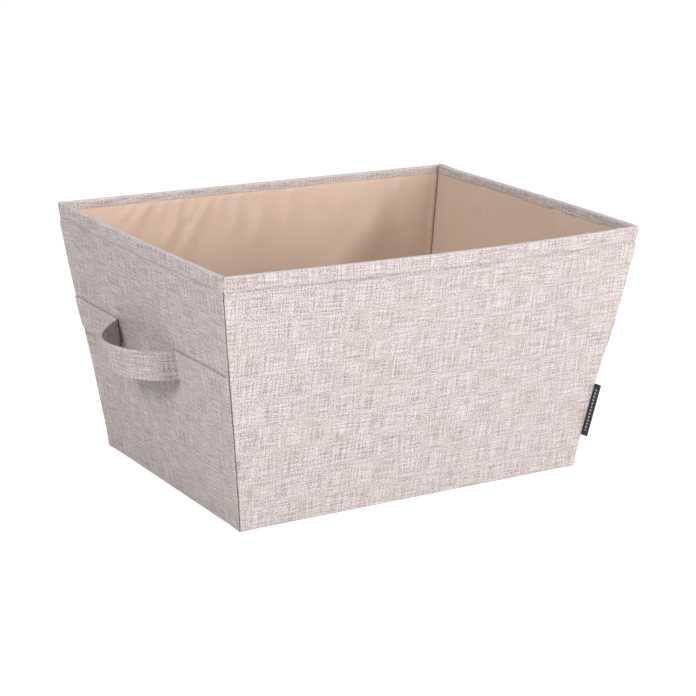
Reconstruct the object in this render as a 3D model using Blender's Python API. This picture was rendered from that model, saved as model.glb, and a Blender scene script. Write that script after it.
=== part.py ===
"""A tapered fabric storage bin, stiffened with boards and lined, with a carrying loop on each short side.

The frame is in metres. Z is up, X runs along the long sides and Y from the front wall to the back wall.
The origin is the centre of the underside, on the surface that the bin stands on.

Each wall is three layers, from outside to inside: cover cloth, board and lining. Every layer is laid out as
a straight tapered box first, and bow_out() then gives the filled, slightly rounded stance of the walls.
"""

import math

import bmesh
import bpy

# Outline of the bin
HEIGHT = 0.2185
TOP_LENGTH = 0.400  # along X, over the rim binding
TOP_WIDTH = 0.300  # along Y, over the rim binding
BASE_LENGTH = 0.3326
BASE_WIDTH = 0.2393

# How far the middle of a wall's top edge stands out from a straight line between its corners
FRONT_BOW = 0.010
FRONT_BOW_LEAN = 0.35  # the front bow is fullest to the right of the middle
SIDE_BOW = 0.0025

# Thicknesses, and the gap between faces that touch
GAP = 0.0003
COVER = 0.0007
BOARD = 0.0016
LINING = 0.0005
BINDING = 0.0006
BASE_COVER = 0.0008

# Rim binding
BINDING_DEPTH_OUTSIDE = 0.0120
BINDING_DEPTH_INSIDE = 0.0070
BINDING_ROUND = 0.0012

# Handle bands
BAND_TOP = 0.1362
BAND_LOW = 0.1106
BAND_THICKNESS = 0.0014
LOOP_FRONT_END = -0.0530
LOOP_REAR_END = 0.0555
LOOP_PEAK = -0.0045  # the place along Y where the loop stands out most
LOOP_BOW = 0.0375

# Loose base insert
INSERT_CLEARANCE = 0.0015
INSERT_BOARD = 0.0024
INSERT_WRAP = 0.0005
INSERT_TURN_UNDER = 0.022

# Side label
LABEL_LOW = 0.0300
LABEL_TOP = 0.0770
LABEL_WIDTH = 0.0085
LABEL_THICKNESS = 0.0006
LABEL_ANGLE = math.radians(-85.0)  # direction in which it stands out, from +X

# Steps in the curved meshes
LONG_STEPS = 16
SHORT_STEPS = 8
HEIGHT_STEPS = 4
LOOP_STEPS = 14

# Insets of each layer's two faces from the outer face of the cover, worked out from the thicknesses
COVER_LAYER = (0.0, COVER)
BOARD_LAYER = (COVER + GAP, COVER + GAP + BOARD)
LINING_LAYER = (BOARD_LAYER[1] + GAP, BOARD_LAYER[1] + GAP + LINING)
BINDING_OUTSIDE = -GAP - BINDING
BINDING_INSIDE = LINING_LAYER[1] + GAP + BINDING
WALL_TOP = HEIGHT - BINDING - GAP
FLOOR_LEVEL = BASE_COVER + GAP
CORNER_GAP = 0.00025
TAPER = (TOP_LENGTH - BASE_LENGTH) / 2 / HEIGHT


def clear_scene():
    for old in list(bpy.data.objects):
        bpy.data.objects.remove(old, do_unlink=True)


def half_length(z):
    """Distance from the middle to the outer face of a short wall at height z."""
    return BASE_LENGTH / 2 + (TOP_LENGTH / 2 + BINDING_OUTSIDE - BASE_LENGTH / 2) * z / HEIGHT


def half_width(z):
    """Distance from the middle to the outer face of a long wall at height z."""
    return BASE_WIDTH / 2 + (TOP_WIDTH / 2 + BINDING_OUTSIDE - BASE_WIDTH / 2) * z / HEIGHT


def bow_out(x, y, z):
    """Moves a point of the straight tapered box outwards, most at the middle of each wall's top edge."""
    across, along = x / half_length(z), y / half_width(z)
    rise = z / HEIGHT
    side = SIDE_BOW * (1 - min(along**2, 1)) * rise * max(-1, min(1, across))
    fullness = (1 - min(across**2, 1)) * (1 + FRONT_BOW_LEAN * across)
    front = FRONT_BOW * fullness * rise * max(0, min(1, -along))
    return (x + side, y - front, z)


def wall_point(wall, along, z, inset):
    """A point on one wall. along is X on a long wall and Y on a short one."""
    if wall in ("front", "back"):
        sign = -1 if wall == "front" else 1
        return bow_out(along, sign * (half_width(z) - inset), z)
    sign = -1 if wall == "left" else 1
    return bow_out(sign * (half_length(z) - inset), along, z)


def wall_reach(wall, z, inset):
    """How far a layer reaches along its wall from the middle, up to its mitre at the corner."""
    half = half_length(z) if wall in ("front", "back") else half_width(z)
    return half - inset - CORNER_GAP


def material(name, color, roughness):
    found = bpy.data.materials.get(name)
    if found:
        return found
    made = bpy.data.materials.new(name)
    made.use_nodes = True
    shader = made.node_tree.nodes["Principled BSDF"]
    shader.inputs["Base Color"].default_value = (*color, 1.0)
    shader.inputs["Roughness"].default_value = roughness
    shader.inputs["Metallic"].default_value = 0.0
    return made


def linen():
    return material("linen", (0.61, 0.53, 0.52), 0.9)


def lining_cloth():
    return material("lining_cloth", (0.45, 0.31, 0.23), 0.85)


def greyboard():
    return material("greyboard", (0.33, 0.30, 0.26), 0.95)


def label_ribbon():
    return material("label_ribbon", (0.02, 0.02, 0.022), 0.6)


def add_object(name, mesh_builder, finish, parent=None, origin=(0, 0, 0)):
    """Links a new object whose mesh is built in world metres and then moved to the object's own origin."""
    shape = bmesh.new()
    mesh_builder(shape)
    bmesh.ops.recalc_face_normals(shape, faces=shape.faces)
    bmesh.ops.translate(shape, verts=shape.verts, vec=[-value for value in origin])
    mesh = bpy.data.meshes.new(name)
    shape.to_mesh(mesh)
    shape.free()
    mesh.materials.append(finish)
    made = bpy.data.objects.new(name, mesh)
    bpy.context.scene.collection.objects.link(made)
    if parent is None:
        made.location = origin
    else:
        made.parent = parent
    return made


def add_joint_empty(name, place):
    """An empty on a joint's axis, which carries the pieces that move about it."""
    empty = bpy.data.objects.new(name, None)
    empty.empty_display_size = 0.03
    empty.location = place
    bpy.context.scene.collection.objects.link(empty)
    return empty


def closed_block(shape, outer, inner):
    """A closed block between two grids of points that face each other, each a list of rows."""
    grids = [[[shape.verts.new(point) for point in row] for row in grid] for grid in (outer, inner)]
    rows, columns = len(outer), len(outer[0])
    for grid in grids:
        for r in range(rows - 1):
            for c in range(columns - 1):
                shape.faces.new((grid[r][c], grid[r][c + 1], grid[r + 1][c + 1], grid[r + 1][c]))
    rim = [(0, c) for c in range(columns)] + [(r, columns - 1) for r in range(1, rows)]
    rim += [(rows - 1, c) for c in range(columns - 2, -1, -1)] + [(r, 0) for r in range(rows - 2, 0, -1)]
    first, second = grids
    for (r, c), (rn, cn) in zip(rim, rim[1:] + rim[:1]):
        shape.faces.new((first[r][c], first[rn][cn], second[rn][cn], second[r][c]))


def stacked_rings(shape, rings, join_ends):
    """A closed surface through rings of points: joined end to start, or closed with a face at each end."""
    loops = [[shape.verts.new(point) for point in ring] for ring in rings]
    pairs = zip(loops, loops[1:] + loops[:1]) if join_ends else zip(loops, loops[1:])
    for low, high in pairs:
        for n in range(len(low)):
            after = (n + 1) % len(low)
            shape.faces.new((low[n], low[after], high[after], high[n]))
    if not join_ends:
        shape.faces.new(loops[0])
        shape.faces.new(loops[-1])


def fractions(steps):
    return [n / steps for n in range(steps + 1)]


def wall_steps(wall):
    return {"front": LONG_STEPS, "back": 1, "left": SHORT_STEPS, "right": SHORT_STEPS}[wall]


def wall_layer(name, wall, layer, low, top, finish):
    """One layer of one wall, between its two insets, mitred at both corners."""
    rows = HEIGHT_STEPS if wall != "back" else 1

    def face(inset):
        grid = []
        for rise in fractions(rows):
            z = low + (top - low) * rise
            reach = wall_reach(wall, z, inset)
            row = [wall_point(wall, reach * (2 * part - 1), z, inset) for part in fractions(wall_steps(wall))]
            grid.append(row)
        return grid

    return add_object(name, lambda shape: closed_block(shape, face(layer[0]), face(layer[1])), finish)


def rectangle(half_x, half_y, z):
    return [(-half_x, -half_y, z), (half_x, -half_y, z), (half_x, half_y, z), (-half_x, half_y, z)]


def level_ring(inset, z, spread=0.0):
    """A rectangle of points at height z, inset from the cover's outer face at height spread."""
    return rectangle(half_length(spread) - inset, half_width(spread) - inset, z)


def flat_sheet(name, inset, low, top, finish):
    """A level sheet that fills the bin's plan at floor level."""
    return add_object(
        name, lambda shape: stacked_rings(shape, [level_ring(inset, low), level_ring(inset, top)], False), finish
    )


def rim_ring(inset, z):
    """A ring of points round the rim at one inset and height, following the bowed walls."""
    half_x, half_y = half_length(z) - inset, half_width(z) - inset
    corners = rectangle(half_x, half_y, z)
    ring = []
    for n, (start, steps) in enumerate(zip(corners, (LONG_STEPS, SHORT_STEPS, LONG_STEPS, SHORT_STEPS))):
        end = corners[(n + 1) % 4]
        for part in fractions(steps)[:-1]:
            ring.append(bow_out(*(a + (b - a) * part for a, b in zip(start, end))))
    return ring


def rim_binding():
    """A strip folded over the top edge: a U section carried round the rim."""
    outside, inside = BINDING_OUTSIDE, BINDING_INSIDE
    shoulder = HEIGHT - BINDING_ROUND
    section = [
        (outside, HEIGHT - BINDING_DEPTH_OUTSIDE),
        (outside, shoulder),
        (outside + BINDING_ROUND, HEIGHT),
        (inside - BINDING_ROUND, HEIGHT),
        (inside, shoulder),
        (inside, HEIGHT - BINDING_DEPTH_INSIDE),
        (inside - BINDING, HEIGHT - BINDING_DEPTH_INSIDE),
        (inside - BINDING, HEIGHT - BINDING),
        (outside + BINDING, HEIGHT - BINDING),
        (outside + BINDING, HEIGHT - BINDING_DEPTH_OUTSIDE),
    ]
    rings = [rim_ring(inset, z) for inset, z in section]
    return add_object("rim_binding", lambda shape: stacked_rings(shape, rings, True), linen())


def band_end(name, wall, start, finish_at_corner):
    """The stitched-down end of a handle band, from the loop to the corner seam."""

    def face(inset):
        grid = []
        for z in (BAND_LOW, BAND_TOP):
            corner = finish_at_corner * (half_width(z) - CORNER_GAP)
            row = [wall_point(wall, start + (corner - start) * part, z, inset) for part in fractions(4)]
            grid.append(row)
        return grid

    outer, inner = -GAP - BAND_THICKNESS, -GAP
    return add_object(name, lambda shape: closed_block(shape, face(outer), face(inner)), linen())


def loop_line():
    """The loop's middle line as (along, stand-off) points.

    In front of its peak it is a quarter of an ellipse, which meets the wall squarely. Behind the peak it is a
    quarter of a cosine wave, which leaves the wall at a slant.
    """
    side_room = BAND_THICKNESS / 2 + GAP
    front_reach = LOOP_PEAK - (LOOP_FRONT_END + side_room)
    rear_reach = LOOP_REAR_END - side_room - LOOP_PEAK
    stand_off = GAP + BAND_THICKNESS / 2
    line = []
    for part in fractions(LOOP_STEPS):
        turn = math.pi / 2 * part
        line.append((LOOP_PEAK - front_reach * math.cos(turn), stand_off + LOOP_BOW * math.sin(turn)))
    for part in fractions(LOOP_STEPS)[1:]:
        line.append((LOOP_PEAK + rear_reach * part, stand_off + LOOP_BOW * math.cos(math.pi / 2 * part)))
    return line


def offset_line(line, distance):
    """The same line moved sideways, away from the wall for a positive distance."""
    moved = []
    for n, (along, out) in enumerate(line):
        before, after = line[max(n - 1, 0)], line[min(n + 1, len(line) - 1)]
        step_along, step_out = after[0] - before[0], after[1] - before[1]
        length = math.hypot(step_along, step_out)
        moved.append((along - distance * step_out / length, out + distance * step_along / length))
    return moved


def handle_loop(name, wall, joint):
    """The free middle of a handle band: a strip on edge that bows out from the wall between its two ends."""
    line = loop_line()

    def face(distance):
        rows = []
        for z in (BAND_LOW, BAND_TOP):
            rows.append([wall_point(wall, along, z, -out) for along, out in offset_line(line, distance)])
        return rows

    half = BAND_THICKNESS / 2
    return add_object(
        name,
        lambda shape: closed_block(shape, face(half), face(-half)),
        linen(),
        parent=joint,
        origin=tuple(joint.location),
    )


def handles():
    for wall, sign in (("left", -1), ("right", 1)):
        band_end(f"{wall}_band_front", wall, LOOP_FRONT_END - GAP, -1)
        band_end(f"{wall}_band_rear", wall, LOOP_REAR_END + GAP, 1)
        hinge = wall_point(wall, (LOOP_FRONT_END + LOOP_REAR_END) / 2, BAND_TOP, -GAP - BAND_THICKNESS / 2)
        joint = add_joint_empty(f"{wall}_handle_axis", hinge)
        handle_loop(f"{wall}_handle_loop", wall, joint)


def base_insert():
    """A loose board wrapped in lining cloth, whose edges are turned under it and leave its middle bare."""
    wrap_inset = LINING_LAYER[1] + INSERT_CLEARANCE
    board_inset = wrap_inset + INSERT_WRAP + GAP
    turned = wrap_inset + INSERT_TURN_UNDER
    bottom = FLOOR_LEVEL + LINING + GAP
    board_low = bottom + INSERT_WRAP + GAP
    board_top = board_low + INSERT_BOARD
    top = board_top + GAP + INSERT_WRAP
    joint = add_joint_empty("insert_axis", (0, 0, bottom))
    origin = tuple(joint.location)
    board_rings = [level_ring(board_inset, board_low), level_ring(board_inset, board_top)]
    add_object(
        "insert_board", lambda shape: stacked_rings(shape, board_rings, False), greyboard(), joint, origin
    )
    wrap_rings = [
        level_ring(wrap_inset, top),
        level_ring(wrap_inset, bottom),
        level_ring(turned, bottom),
        level_ring(turned, bottom + INSERT_WRAP),
        level_ring(wrap_inset + INSERT_WRAP, bottom + INSERT_WRAP),
        level_ring(wrap_inset + INSERT_WRAP, top - INSERT_WRAP),
    ]
    add_object(
        "insert_cover", lambda shape: stacked_rings(shape, wrap_rings, False), lining_cloth(), joint, origin
    )


def side_label():
    """A folded ribbon caught in the front right corner seam, standing forwards."""
    ahead = (math.cos(LABEL_ANGLE), math.sin(LABEL_ANGLE))
    across = (-ahead[1], ahead[0])
    middle = (LABEL_LOW + LABEL_TOP) / 2
    joint = add_joint_empty("label_axis", (half_length(middle), -half_width(middle), middle))

    def face(side):
        rows = []
        for z in (LABEL_LOW, LABEL_TOP):
            root_x, root_y = half_length(z) + GAP, -half_width(z) - GAP
            row = []
            for reach in (GAP, LABEL_WIDTH):
                x = root_x + ahead[0] * reach + across[0] * side
                y = root_y + ahead[1] * reach + across[1] * side
                row.append((x, y, z))
            rows.append(row)
        return rows

    half = LABEL_THICKNESS / 2
    add_object(
        "side_label",
        lambda shape: closed_block(shape, face(half), face(-half)),
        label_ribbon(),
        parent=joint,
        origin=tuple(joint.location),
    )


def build():
    clear_scene()
    for wall in ("front", "back", "left", "right"):
        wall_layer(f"{wall}_outer", wall, COVER_LAYER, 0.0, WALL_TOP, linen())
        wall_layer(f"{wall}_board", wall, BOARD_LAYER, FLOOR_LEVEL, WALL_TOP, greyboard())
        wall_layer(f"{wall}_lining", wall, LINING_LAYER, FLOOR_LEVEL, WALL_TOP, lining_cloth())
    flat_sheet("base_outer", COVER + GAP, 0.0, BASE_COVER, linen())
    flat_sheet("base_lining", LINING_LAYER[1] + GAP, FLOOR_LEVEL, FLOOR_LEVEL + LINING, lining_cloth())
    rim_binding()
    handles()
    base_insert()
    side_label()


build()
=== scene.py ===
"""A tapered fabric storage bin: linen-look covers over card, a lining, a bound rim and two strap handles."""

import bpy
import numpy as np
from mathutils import Matrix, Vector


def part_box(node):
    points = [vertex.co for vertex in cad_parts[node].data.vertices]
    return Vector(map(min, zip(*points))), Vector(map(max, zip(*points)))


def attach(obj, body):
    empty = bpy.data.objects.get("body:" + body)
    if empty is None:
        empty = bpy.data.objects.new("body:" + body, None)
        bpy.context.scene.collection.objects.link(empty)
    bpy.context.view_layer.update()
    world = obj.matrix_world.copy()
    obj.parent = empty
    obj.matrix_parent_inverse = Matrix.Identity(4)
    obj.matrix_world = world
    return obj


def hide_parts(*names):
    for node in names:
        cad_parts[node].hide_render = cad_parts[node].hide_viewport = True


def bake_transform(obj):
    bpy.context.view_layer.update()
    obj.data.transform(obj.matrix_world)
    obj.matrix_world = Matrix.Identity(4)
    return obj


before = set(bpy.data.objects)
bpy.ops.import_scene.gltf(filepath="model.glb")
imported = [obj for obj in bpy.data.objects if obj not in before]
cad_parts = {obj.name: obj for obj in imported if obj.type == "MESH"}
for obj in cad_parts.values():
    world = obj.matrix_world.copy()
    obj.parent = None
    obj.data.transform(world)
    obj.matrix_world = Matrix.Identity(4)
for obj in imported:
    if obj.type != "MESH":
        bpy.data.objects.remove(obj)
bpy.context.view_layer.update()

# ----------------------------------------------------------------------
# Studio: a wide white sweep under a soft white surround, one large soft key light in front of the bin, a
# low one at its right, a higher fill at its left and one above and behind it. The camera stands in front,
# to the left and above the rim.
# ----------------------------------------------------------------------
CAMERA_PLACE = (-0.88656, -1.41650, 0.58395)
CAMERA_RIGHT = (0.849324, -0.527383, 0.022703)
CAMERA_UP = (0.128455, 0.248204, 0.960153)
CAMERA_BACK = (-0.512003, -0.812565, 0.278550)
LENS = 103.57  # mm on a 36 mm wide film
FLOOR_HALF, FLOOR_LEVEL = 10.0, -0.0002
SURROUND_LIGHT = 0.47
KEY_POWER, KEY_SIZE, KEY_PLACE = 32.0, 0.9, (0.62, -2.10, 0.66)
SIDE_POWER, SIDE_SIZE, SIDE_PLACE = 20.0, 0.5, (-1.5, -0.7, 1.1)
LOW_POWER, LOW_SIZE, LOW_PLACE = 16.0, 0.9, (1.25, -1.35, 0.24)
TOP_POWER, TOP_SIZE, TOP_PLACE = 5.5, 0.6, (0.0, 0.7, 1.8)

scene = bpy.context.scene
scene.view_settings.view_transform = "Standard"


def make_node(tree, kind, feeds=None, **settings):
    """A shader node with its settings, whose inputs are fed by numbers or by other nodes' outputs."""
    made = tree.nodes.new(kind)
    for key, value in settings.items():
        setattr(made, key, value)
    for socket, value in (feeds or {}).items():
        if isinstance(value, bpy.types.NodeSocket):
            tree.links.new(value, made.inputs[socket])
        else:
            made.inputs[socket].default_value = value
    return made.outputs


def calc(tree, operation, *values):
    """One step of arithmetic between shader values."""
    return make_node(tree, "ShaderNodeMath", dict(enumerate(values)), operation=operation)[0]


camera_data = bpy.data.cameras.new("camera")
camera_data.lens, camera_data.sensor_width = LENS, 36.0
camera_data.clip_start, camera_data.clip_end = 0.01, 100.0
camera = bpy.data.objects.new("camera", camera_data)
turn = Matrix((CAMERA_RIGHT, CAMERA_UP, CAMERA_BACK)).transposed().to_4x4()
camera.matrix_world = Matrix.Translation(CAMERA_PLACE) @ turn
scene.collection.objects.link(camera)
scene.camera = camera


def soft_light(name, power, size, place, aim=(0.0, 0.0, 0.12)):
    """A square soft light that faces a point."""
    data = bpy.data.lights.new(name, "AREA")
    data.energy, data.size = power, size
    lamp = bpy.data.objects.new(name, data)
    away = np.subtract(place, aim)
    away = away / np.linalg.norm(away)
    side = np.cross((0.0, 0.0, 1.0), away)
    side = side / np.linalg.norm(side)
    up = np.cross(away, side)
    face = Matrix((tuple(side), tuple(up), tuple(away))).transposed().to_4x4()
    lamp.matrix_world = Matrix.Translation(place) @ face
    lamp.visible_camera = False
    scene.collection.objects.link(lamp)


soft_light("key", KEY_POWER, KEY_SIZE, KEY_PLACE)
soft_light("side_fill", SIDE_POWER, SIDE_SIZE, SIDE_PLACE)
soft_light("low_light", LOW_POWER, LOW_SIZE, LOW_PLACE)
soft_light("top_light", TOP_POWER, TOP_SIZE, TOP_PLACE)

world = bpy.data.worlds.new("surround")
scene.world = world
world.use_nodes = True
sky = world.node_tree
sky.nodes.clear()
looked_at = make_node(sky, "ShaderNodeLightPath")["Is Camera Ray"]
lit_by = make_node(sky, "ShaderNodeBackground", {"Color": (1, 1, 1, 1), "Strength": SURROUND_LIGHT})[0]
seen = make_node(sky, "ShaderNodeBackground", {"Color": (1, 1, 1, 1), "Strength": 1.05})[0]
sky_mix = make_node(sky, "ShaderNodeMixShader", {0: looked_at, 1: lit_by, 2: seen})[0]
make_node(sky, "ShaderNodeOutputWorld", {"Surface": sky_mix})

floor_mesh = bpy.data.meshes.new("floor")
f = FLOOR_HALF
g = FLOOR_LEVEL
floor_mesh.from_pydata([(-f, -f, g), (f, -f, g), (f, f, g), (-f, f, g)], [], [(0, 1, 2, 3)])
floor = bpy.data.objects.new("floor", floor_mesh)
scene.collection.objects.link(floor)
paper = bpy.data.materials.new("white_sweep")
paper.use_nodes = True
tree = paper.node_tree
tree.nodes.clear()
looked_at = make_node(tree, "ShaderNodeLightPath")["Is Camera Ray"]
matt = make_node(tree, "ShaderNodeBsdfDiffuse", {"Color": (0.80, 0.80, 0.80, 1)})[0]
faint = make_node(tree, "ShaderNodeBsdfDiffuse", {"Color": (0.22, 0.22, 0.22, 1)})[0]
glow = make_node(tree, "ShaderNodeEmission", {"Color": (1, 1, 1, 1), "Strength": 0.93})[0]
bright = make_node(tree, "ShaderNodeAddShader", {0: faint, 1: glow})[0]
both = make_node(tree, "ShaderNodeMixShader", {0: looked_at, 1: matt, 2: bright})[0]
make_node(tree, "ShaderNodeOutputMaterial", {"Surface": both})
floor_mesh.materials.append(paper)

# ----------------------------------------------------------------------
# Wall covers: four leaning panels of linen-look polyester, a plain weave of uneven melange yarns. Each is
# stretched over its card board, turned into the sewn seam at both corners and rolled under at the base
# seam.
# ----------------------------------------------------------------------
back_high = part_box("back_outer")[1]
base_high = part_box("base_outer")[1]
WALL_TOP = back_high.z
RIM_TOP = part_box("rim_binding")[1].z
BASE_SHORT, BACK_SHORT = 0.0010, 0.00025  # how far the base and the back stop short of the outside
HALF_LENGTH_LOW, HALF_WIDTH_LOW = base_high.x + BASE_SHORT, base_high.y + BASE_SHORT
HALF_LENGTH_SLOPE = (back_high.x + BACK_SHORT - HALF_LENGTH_LOW) / WALL_TOP
HALF_WIDTH_SLOPE = (back_high.y - HALF_WIDTH_LOW) / WALL_TOP
FRONT_BOW, FRONT_BOW_LEAN, SIDE_BOW = 0.0100, 0.35, 0.0025
WALL_SIGHT = {  # direction along each wall, and its outward direction
    "front": ((1, 0), (0, -1)),
    "right": ((0, 1), (1, 0)),
    "back": ((-1, 0), (0, 1)),
    "left": ((0, -1), (-1, 0)),
}
COVER_THICKNESS = 0.0006
CORNER_ROUND, SEAM_ROUND, SEAM_GAP, SEAM_TAIL = 0.0010, 0.00035, 0.00036, 0.0012
CORNER_FULL_TOP, CORNER_FULL_LOW, CORNER_FULL_WIDTH = 0.0021, 0.0003, 0.020
CORNER_FULL_GROWS, BINDING_PRESSES, BINDING_PRESS = (0.070, 0.160), (0.2000, 0.2062), 0.55
BASE_ROUND, COVER_FOOT = 0.0013, 0.0004
ALLOWANCE_WIDTH, ALLOWANCE_SLOPE, ALLOWANCE_RAISE = 0.0085, 0.0016, 0.00032
COVER_SWELL, HEM_DENT, FOOT_EAR = 0.00022, 0.0007, 0.0012
CUT_APART = 0.9  # each wall's panel is cut this much further along the cloth
LINEN = {
    "pitch": 0.00060,
    "dark": (0.30, 0.235, 0.225),
    "mid": (0.655, 0.553, 0.545),
    "light": (0.90, 0.84, 0.835),
    "contrast": 2.4,
    "streaks": (860.0, 44.0),
    "speck": (880.0, 1.7),
    "bump": 1.0,
    "roughness": 0.9,
    "sheen": 0.10,
}


def half_length(z):
    """Distance from the middle to the outer face of a short wall at height z."""
    return HALF_LENGTH_LOW + HALF_LENGTH_SLOPE * z


def half_width(z):
    """Distance from the middle to the outer face of a long wall at height z."""
    return HALF_WIDTH_LOW + HALF_WIDTH_SLOPE * z


def reach_along(wall, z):
    """Distance along a wall from its middle to its corner."""
    return half_length(z) if wall in ("front", "back") else half_width(z)


def reach_out(wall, z):
    """Distance from the bin's middle to a wall's outer face."""
    return half_width(z) if wall in ("front", "back") else half_length(z)


def on_grid(*parts):
    """Values given by rows, by columns or once, brought to one grid and set side by side."""
    return np.stack(np.broadcast_arrays(*parts), axis=-1)


def bowed(x, y, z):
    """Points of the straight tapered box moved outwards by parabolas along each wall that grow with
    height."""
    across, along = x / half_length(z), y / half_width(z)
    rise = np.maximum(z, 0) / RIM_TOP
    side = SIDE_BOW * (1 - np.minimum(along**2, 1)) * rise * np.clip(across, -1, 1)
    fullness = (1 - np.minimum(across**2, 1)) * (1 + FRONT_BOW_LEAN * across)
    front = FRONT_BOW * fullness * rise * np.clip(-along, 0, 1)
    return on_grid(x + side, y - front, z)


def on_wall(wall, along, inset, z):
    """Points a distance along a wall from its middle, inset from its outer face, at height z."""
    run, out = WALL_SIGHT[wall]
    away = reach_out(wall, z) - inset
    return bowed(run[0] * along + out[0] * away, run[1] * along + out[1] * away, z)


def smooth_step(value, low, high):
    """0 below low, 1 above high and a smooth S between them."""
    part = np.clip((value - low) / (high - low), 0, 1)
    return part * part * (3 - 2 * part)


def corner_full(wall, along, z):
    """How far the cloth stands out beside a corner: a smooth ramp towards the corner, fullest above
    the handle band, where the seam allowances fill the corner, and pressed flatter under the rim
    binding."""
    near = 1 - smooth_step(reach_along(wall, z) - np.abs(along), 0.002, CORNER_FULL_WIDTH)
    grown = CORNER_FULL_LOW + (CORNER_FULL_TOP - CORNER_FULL_LOW) * smooth_step(z, *CORNER_FULL_GROWS)
    pressed = 1 - BINDING_PRESS * smooth_step(z, *BINDING_PRESSES)
    return near * grown * pressed * smooth_step(z, 0.001, 0.010)


def running_length(path):
    """Length along a path of points, from its first point to each."""
    step = np.linalg.norm(np.diff(path, axis=0), axis=1)
    return np.concatenate([[0], np.cumsum(step)])


def corner_path():
    """A panel's plan section at a corner, as (distance back from the corner, inset, length along the
    cloth).

    An arc of 45 degrees rounds the board's edge, then a tight arc of 90 degrees turns the cloth into
    the seam, where it runs straight inwards along the line that halves the corner."""
    start = CORNER_ROUND + np.sqrt(2) * (SEAM_ROUND + SEAM_GAP)
    turn = np.radians(np.linspace(0, 45, 6))
    wide = np.stack([CORNER_ROUND * np.sin(turn), CORNER_ROUND * (1 - np.cos(turn))], axis=1)
    part = (CORNER_ROUND - SEAM_ROUND) / np.sqrt(2)
    centre = np.array([part, CORNER_ROUND - part])
    turn = np.radians(np.linspace(45, 135, 9))[1:]
    tight = centre + SEAM_ROUND * np.stack([np.sin(turn), -np.cos(turn)], axis=1)
    tail = tight[-1] + np.array([[0.5], [1.0]]) * SEAM_TAIL * np.array([-1, 1]) / np.sqrt(2)
    path = np.concatenate([wide, tight, tail])
    length = running_length(path)
    return start - path[:, 0], path[:, 1], length - start


def new_object(name, vertices, faces):
    """A smooth shaded object made of points and faces."""
    mesh = bpy.data.meshes.new(name)
    mesh.from_pydata(vertices, [], faces)
    mesh.polygons.foreach_set("use_smooth", np.ones(len(mesh.polygons), dtype=bool))
    made = bpy.data.objects.new(name, mesh)
    scene.collection.objects.link(made)
    return made


def grid_object(name, points, cloth, closed=False, capped=()):
    """A surface through a grid of points, rows upwards and columns to the right as seen from its
    outside.

    cloth holds each point's place on the flat cloth in metres, which becomes the UV map. A closed grid
    joins its last column to its first, and carries one more column of cloth places than of points. Its
    capped rows, 0 for the first and -1 for the last, are filled by a fan of triangles round their
    middle."""
    rows, columns = points.shape[:2]
    spans = columns if closed else columns - 1
    r, c = np.meshgrid(np.arange(rows - 1), np.arange(spans), indexing="ij")
    n = (c + 1) % columns
    low, high = r * columns, (r + 1) * columns
    faces = np.stack([low + c, low + n, high + n, high + c], axis=-1)
    corners = np.stack([cloth[r, c], cloth[r, c + 1], cloth[r + 1, c + 1], cloth[r + 1, c]], axis=2)
    vertices, faces, corners = points.reshape(-1, 3), faces.reshape(-1, 4).tolist(), corners.reshape(-1, 2)
    for end in capped:
        edge = np.arange(columns) + (end % rows) * columns
        order = 1 if end else -1
        around = (edge, np.roll(edge, -1))[::order]
        faces += np.stack([*around, edge * 0 + len(vertices)], axis=1).tolist()
        ring = (cloth[end, :-1], cloth[end, 1:])[::order]
        fan = np.stack([*ring, 0 * ring[0] + cloth[end, :-1].mean(axis=0)], axis=1)
        corners = np.concatenate([corners, fan.reshape(-1, 2)])
        vertices = np.concatenate([vertices, points[end].mean(axis=0, keepdims=True)])
    made = new_object(name, vertices.tolist(), faces)
    made.data.uv_layers.new(name="Cloth").data.foreach_set("uv", corners.reshape(-1).astype(np.float32))
    return made


def thicken(piece, thickness):
    """Gives a sheet its thickness, inwards from the face that was built."""
    solid = piece.modifiers.new("thickness", "SOLIDIFY")
    solid.thickness, solid.offset, solid.use_even_offset = thickness, -1.0, False


def mix_colour(tree, share, low, high):
    """A colour between two others."""
    return make_node(tree, "ShaderNodeMix", {0: share, 6: low, 7: high}, data_type="RGBA")[2]


def new_material(name):
    """A material and its node tree."""
    material = bpy.data.materials.new(name)
    material.use_nodes = True
    return material, material.node_tree


def finish_shader(tree, colour, normal, values):
    """Feeds the shader its colour and its relief, and sets its plain values on its own sockets."""
    shader = tree.nodes["Principled BSDF"]
    tree.links.new(colour, shader.inputs["Base Color"])
    tree.links.new(normal, shader.inputs["Normal"])
    for socket, value in values.items():
        shader.inputs[socket].default_value = value


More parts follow.
